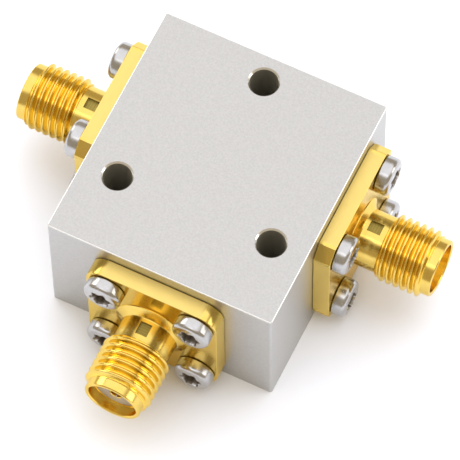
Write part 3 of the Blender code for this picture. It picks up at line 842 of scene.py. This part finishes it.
for port in portDirections:
    shell = addPiece(port + "_jack", jackMesh(port), [gold, pocketDark],
                     port + "_connector_shell")
    paintPocket(shell.data, portPlace(port))
    addPiece(port + "_core", insulatorMesh(port), [ptfe], port + "_insulator")
    node = port + "_center_contact"
    addPiece(port + "_socket", contactMesh(port, node), [contactGold], node)
print("jacks made")

for node, turn in screwTurns.items():
    port, vertical, side = node.split("_screw_")[0], *node.split("_")[-2:]
    across = (1 if side == "right" else -1) * jack["screwPitch"] / 2 * mm
    up = (1 if vertical == "upper" else -1) * jack["screwPitch"] / 2 * mm
    mesh = movedMesh(screwMesh(math.radians(turn)), portPlace(port) @ moved(across, up))
    addPiece(node.replace("_screw_", "_flange_screw_"), mesh, [steel], node)
print("screws made")

# The discs inside keep their CAD shape
stock = dict(
    magnet=grained("magnetNickel", (0.36, 0.36, 0.37), (0.3, 0.3, 0.31), 0.3, 1.0, 6.0, 4e-6),
    pole_piece=grained("poleSteel", (0.54, 0.54, 0.55), (0.48, 0.48, 0.49), 0.36, 1.0, 8.0, 4e-6),
    ground_plate=grained("groundSilver", (0.82, 0.81, 0.78), (0.76, 0.75, 0.72),
                         0.3, 1.0, 7.0, 3e-6),
    ferrite=grained("ferriteBlack", (0.05, 0.05, 0.055), (0.03, 0.03, 0.033),
                    0.55, 0.0, 9.0, 5e-6),
    dielectric_ring=grained("ringCeramic", (0.88, 0.86, 0.8), (0.82, 0.79, 0.72),
                            0.45, 0.0, 5.0, 4e-6),
    center_conductor=grained("copperSheet", (0.86, 0.5, 0.31), (0.8, 0.44, 0.26),
                             0.3, 1.0, 6.0, 3e-6),
)
for name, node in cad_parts.items():
    for kind, material in stock.items():
        if name.endswith(kind):
            for slot in node.material_slots:
                slot.material = material
print("inner stack dressed")


# Floor, lights and camera

studio = dict(
    floorSize=6.0, floorTone=0.92,
    # a round white tent roof overhead in a dim warm room: the azimuth and elevation of its
    # middle, and the angles from there between which it fades into the room
    roomTone=(0.55, 0.475, 0.36), tentTone=(1.5, 1.5, 1.55),
    tentMiddle=(118, 83), tentEdge=(36, 50),
    # the large light on the paper, a little blue against the warm room and not mirrored
    paperTone=(0.86, 1.0, 1.32),
    # azimuth and elevation of each soft box as seen from the part, its distance, width, height
    # and brightness
    boxes=(
        ("frontBox", -94, 62, 1.0, 0.6, 0.16, 0.9),
        ("leftBox", 155, 26, 1.0, 0.5, 0.42, 3.0),
        ("rightBox", 24, 22, 1.0, 0.46, 0.5, 2.7),
        ("paperLight", 88, 57, 1.2, 2.0, 1.7, 1.1),
    ),
)


def directionOf(azimuth, elevation):
    # (cos a cos e, sin a cos e, sin e)
    turn, rise = math.radians(azimuth), math.radians(elevation)
    return math.cos(turn) * math.cos(rise), math.sin(turn) * math.cos(rise), math.sin(rise)


def faceTowards(direction):
    # turn that points an object's -Z along the direction
    return Vector(direction).to_track_quat("-Z", "Y").to_euler()


floorGrid = np.array([[(x, y, 0.0) for x in (-1, 1)] for y in (-1, 1)]) * studio["floorSize"] / 2
floor = linkedObject("floor", meshFromGrid("floor", floorGrid, loopColumns=False))
floor.data.materials.append(newMaterial("floorPaper", (studio["floorTone"],) * 3, 0.9, 0.0,
                                        Specular_IOR_Level=0.1))

world = bpy.data.worlds.new("studioWorld")
world.use_nodes = True
heading = addNode(world, "TexCoord").outputs["Generated"]
towardsMiddle = addNode(world, "VectorMath", {0: heading, 1: directionOf(*studio["tentMiddle"])},
                        operation="DOT_PRODUCT")
near, far = (math.cos(math.radians(angle)) for angle in studio["tentEdge"])
share = addNode(world, "MapRange", {"Value": towardsMiddle.outputs["Value"], "From Min": far,
                                    "From Max": near}, interpolation_type="SMOOTHSTEP")
glow = blended(world, share.outputs["Result"], studio["roomTone"], studio["tentTone"])
world.node_tree.links.new(glow, world.node_tree.nodes["Background"].inputs["Color"])
bpy.context.scene.world = world

for name, azimuth, elevation, distance, wide, high, brightness in studio["boxes"]:
    lamp = bpy.data.lights.new(name, "AREA")
    lamp.shape = "RECTANGLE"
    lamp.size, lamp.size_y = wide, high
    lamp.energy = brightness * math.pi * wide * high  # watts for a given brightness
    if name == "paperLight":
        lamp.color = studio["paperTone"]
    towards = Vector(directionOf(azimuth, elevation))
    softBox = linkedObject(name, lamp)
    softBox.location = towards * distance
    softBox.rotation_euler = faceTowards(-towards)
    softBox.visible_camera = False
    softBox.visible_glossy = name != "paperLight"

# the camera fitted to the photo: its place and focal length in mm, and its axes
lens = dict(
    place=(91.232, -176.546, 407.884), focal=392.76, sensor=36.0, clip=(0.01, 20.0),
    right=(0.898221, 0.439463, -0.008416), up=(-0.391454, 0.808509, 0.439406),
    back=(0.199907, -0.391389, 0.898249),
)
view = linkedObject("photoCamera", bpy.data.cameras.new("photoCamera"))
view.data.sensor_width = lens["sensor"]
view.data.lens = lens["focal"]
view.data.clip_start, view.data.clip_end = lens["clip"]
view.matrix_world = Matrix.Translation(Vector(lens["place"]) * mm) @ Matrix(
    (lens["right"], lens["up"], lens["back"])).transposed().to_4x4()
bpy.context.scene.camera = view
bpy.context.scene.view_settings.view_transform = "Standard"
print("studio made")
